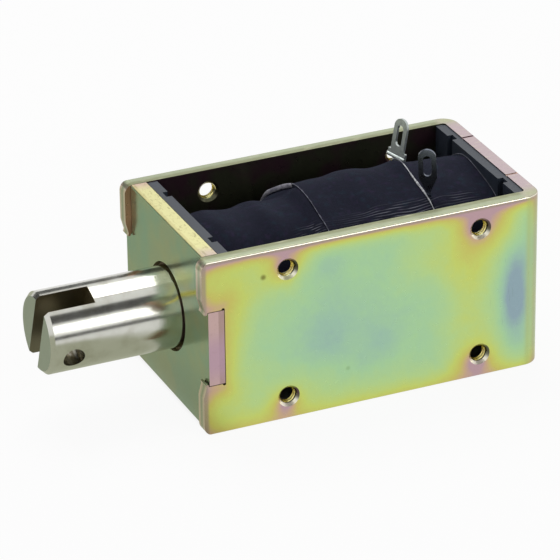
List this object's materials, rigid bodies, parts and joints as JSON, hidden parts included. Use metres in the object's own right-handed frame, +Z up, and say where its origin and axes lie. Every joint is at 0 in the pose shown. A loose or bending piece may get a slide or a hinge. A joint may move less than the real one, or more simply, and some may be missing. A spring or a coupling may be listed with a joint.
{
  "type": "push-pull solenoid",
  "caption": "Open-frame push-pull solenoid: bent chromated steel frame, taped coil with solder lugs, and a slotted nickel plunger drawn out of its end plate.",
  "frame": {"origin": "Centre of the four tapped mounting holes, on the outer face of the near (-Y) side wall", "axes": "+X runs along the plunger towards the rear wall, the way the plunger travels when the coil is energised; -Y is the outward normal of the near mounting face; +Z is up, out of the frame's open top where the terminals stand"},
  "size_m": [0.074, 0.03, 0.0326],
  "materials": {
    "chromated_steel": "zinc plated with an iridescent yellow chromate, satin",
    "plated_steel": "bright plated",
    "nickel_plate": "ground, bright nickel plated",
    "stainless_steel": "drawn, bright",
    "spring_steel": "blackened",
    "brass": "drawn",
    "bobbin_nylon": "moulded, satin",
    "enamelled_copper": "enamelled wire",
    "polyester_film": "clear amber film",
    "cloth_tape": "woven acetate cloth tape",
    "tinned_brass": "tinned",
    "solder": "bright solder"
  },
  "bodies": {
    "case": {"frame": "chromated_steel", "end_plate": "chromated_steel", "fixed_core": "plated_steel", "residual_washer": "brass", "guide_tube": "brass", "bobbin": "bobbin_nylon", "winding": "enamelled_copper", "insulating_film": "polyester_film", "front_tape_wrap": "cloth_tape", "middle_tape_wrap": "cloth_tape", "rear_tape_wrap": "cloth_tape", "far_terminal": "tinned_brass", "near_terminal": "tinned_brass", "far_wire_end": "enamelled_copper", "near_wire_end": "enamelled_copper", "far_solder_bead": "solder", "near_solder_bead": "solder"},
    "ring": {"retaining_ring": "spring_steel"},
    "plunger": {"plunger": "nickel_plate", "push_rod": "stainless_steel"}
  },
  "joints": [
    {"name": "plunger_slide", "type": "slide", "parent": "case", "child": "ring", "axis": [1, 0, 0], "range_m": [0, 0.01]},
    {"name": "plunger_roll", "type": "hinge", "parent": "ring", "child": "plunger", "pos_m": [0, 0.015, 0], "axis": [1, 0, 0], "continuous": true}
  ]
}
